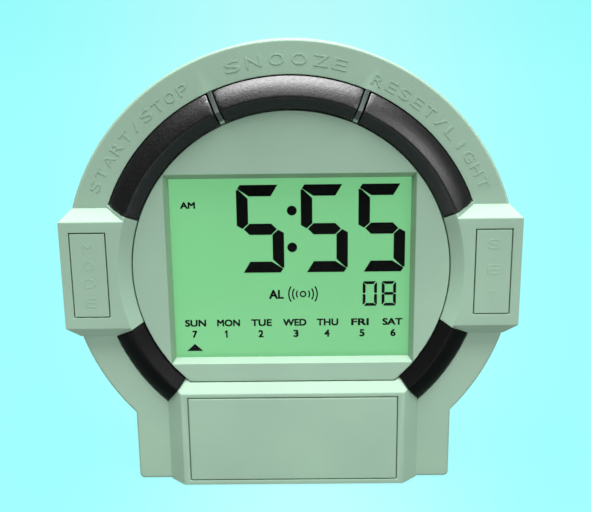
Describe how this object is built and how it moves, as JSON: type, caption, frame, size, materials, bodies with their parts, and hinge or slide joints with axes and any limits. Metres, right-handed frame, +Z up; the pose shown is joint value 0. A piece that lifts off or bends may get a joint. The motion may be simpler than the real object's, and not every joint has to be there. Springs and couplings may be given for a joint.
{
  "type": "calendar clock",
  "caption": "Round desk alarm clock with a calendar display, curved push buttons round the dial, keys in side ears and a battery door in its heel",
  "frame": {"origin": "centre of the bounding box, on the table under the rubber feet", "axes": "+Z up, -Y forwards out of the display, +X to the right as seen from the front"},
  "size_m": [0.1152, 0.0458, 0.1152],
  "materials": {
    "case_plastic": "finely textured sage green moulding",
    "black_plastic": "polished black moulding",
    "clear_window": "clear polished pane",
    "display_cell": "pale green reflecting display",
    "display_mark": "dark display segments",
    "clear_guide": "clear light guide",
    "lamp": "moulded light source",
    "white_plastic": "plain white moulding",
    "contact_rubber": "layered contact strip",
    "board": "green lacquered board",
    "chip_resin": "cast black resin",
    "can_metal": "drawn metal can",
    "ceramic": "fired ceramic",
    "switch_plastic": "small moulded switches",
    "steel": "bright plated steel",
    "disc_brass": "rolled brass",
    "cell_jacket": "plain metal jacket",
    "wire_cover": "insulated wire",
    "pad_rubber": "soft black pads"
  },
  "bodies": {
    "case": {"front_case": "case_plastic", "rear_case": "case_plastic", "dial_plate": "case_plastic", "base_panel": "case_plastic", "lower_trim_left": "black_plastic", "lower_trim_right": "black_plastic", "display_window": "clear_window", "lcd_glass": "display_cell", "display_segments": "display_mark", "light_guide": "clear_guide", "backlight_led": "lamp", "lcd_holder": "white_plastic", "zebra_strip": "contact_rubber", "circuit_board": "board", "controller_chip": "chip_resin", "watch_crystal": "can_metal", "chip_parts": "ceramic", "switches": "switch_plastic", "return_springs": "steel", "battery_springs": "steel", "battery_plates": "steel", "case_screws": "steel", "dial_screws": "steel", "board_screws": "steel", "buzzer": "disc_brass", "battery_cells": "cell_jacket", "battery_leads": "wire_cover", "buzzer_leads": "wire_cover", "rubber_feet": "pad_rubber"},
    "start_button": {"start_button": "black_plastic"},
    "snooze_button": {"snooze_button": "black_plastic"},
    "reset_button": {"reset_button": "black_plastic"},
    "left_key": {"left_key": "case_plastic"},
    "right_key": {"right_key": "case_plastic"},
    "battery_door": {"battery_door": "case_plastic"}
  },
  "joints": [
    {"name": "start_press", "type": "slide", "parent": "case", "child": "start_button", "axis": [0, 0.9962, -0.0872], "range_m": [0, 0.0008], "stiffness_N_per_m": 500},
    {"name": "snooze_press", "type": "slide", "parent": "case", "child": "snooze_button", "axis": [0, 0.9962, -0.0872], "range_m": [0, 0.0008], "stiffness_N_per_m": 500},
    {"name": "reset_press", "type": "slide", "parent": "case", "child": "reset_button", "axis": [0, 0.9962, -0.0872], "range_m": [0, 0.0008], "stiffness_N_per_m": 500},
    {"name": "left_key_press", "type": "slide", "parent": "case", "child": "left_key", "axis": [0, 0.9962, -0.0872], "range_m": [0, 0.0008], "stiffness_N_per_m": 500},
    {"name": "right_key_press", "type": "slide", "parent": "case", "child": "right_key", "axis": [0, 0.9962, -0.0872], "range_m": [0, 0.0008], "stiffness_N_per_m": 500},
    {"name": "battery_door_pull", "type": "slide", "parent": "case", "child": "battery_door", "axis": [0, 0.9962, -0.0872], "range_m": [0, 0.03]}
  ]
}
